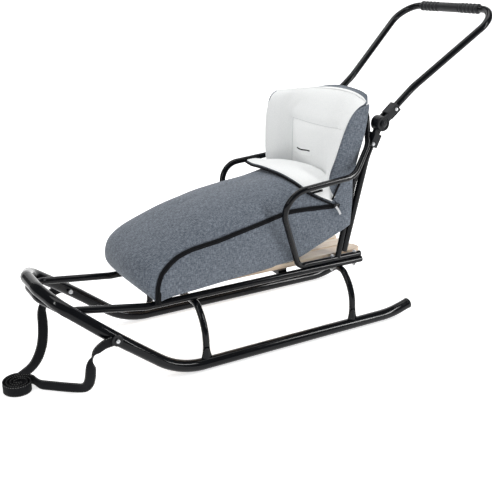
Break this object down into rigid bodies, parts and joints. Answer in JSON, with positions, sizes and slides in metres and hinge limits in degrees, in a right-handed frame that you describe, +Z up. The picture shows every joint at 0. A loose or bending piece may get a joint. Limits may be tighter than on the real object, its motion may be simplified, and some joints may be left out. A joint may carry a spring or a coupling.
{
  "type": "metal sled",
  "caption": "Child's steel-tube sled with wooden seat slats, armrests, a back hoop, a padded footmuff, a tow strap and a push handle that folds down on friction hinges.",
  "frame": {"origin": "on the floor, under the middle of the sled's length and width, leaving the tow strap out", "axes": "+X forward towards the bow, +Y to the sled's left, +Z up"},
  "size_m": [1.3784, 0.3822, 0.8448],
  "materials": {
    "tube_black": "gloss black powder coat",
    "hinge_black": "satin black",
    "bolt": "black washer with a plated bolt",
    "wood": "clear varnish",
    "cloth": "heather grey woven cloth",
    "fleece": "white fleece",
    "webbing": "black woven webbing",
    "grip": "matt black"
  },
  "bodies": {
    "sled": {"runner_tube": "tube_black", "tow_bolt_left": "bolt", "tow_bolt_right": "bolt", "seat_rail": "tube_black", "front_arch": "tube_black", "rear_arch": "tube_black", "front_bearer": "tube_black", "middle_bearer": "tube_black", "rear_bearer": "tube_black", "seat_slats": "wood", "arm_hoop": "tube_black", "back_strut_left": "tube_black", "back_strut_right": "tube_black", "handle_leg_left": "tube_black", "handle_leg_right": "tube_black", "hinge_base_left": "hinge_black", "hinge_base_right": "hinge_black", "hinge_pin_left": "hinge_black", "hinge_pin_right": "hinge_black", "muff_base": "fleece", "muff_back": "fleece", "muff_wing_left": "cloth", "muff_wing_right": "cloth", "muff_side_left": "cloth", "muff_side_right": "cloth", "muff_toe": "cloth", "muff_cover": "cloth", "muff_collar": "fleece", "strap_left_run": "webbing", "strap_right_run": "webbing", "strap_roll": "webbing"},
    "push_handle": {"hinge_fork_left": "hinge_black", "hinge_fork_right": "hinge_black", "handle_tube": "tube_black", "handle_grip": "grip"}
  },
  "joints": [
    {"name": "handle_fold", "type": "hinge", "parent": "sled", "child": "push_handle", "pos_m": [-0.28354, 0, 0.552], "axis": [0, 1, 0], "range_deg": [-100, 0]}
  ]
}
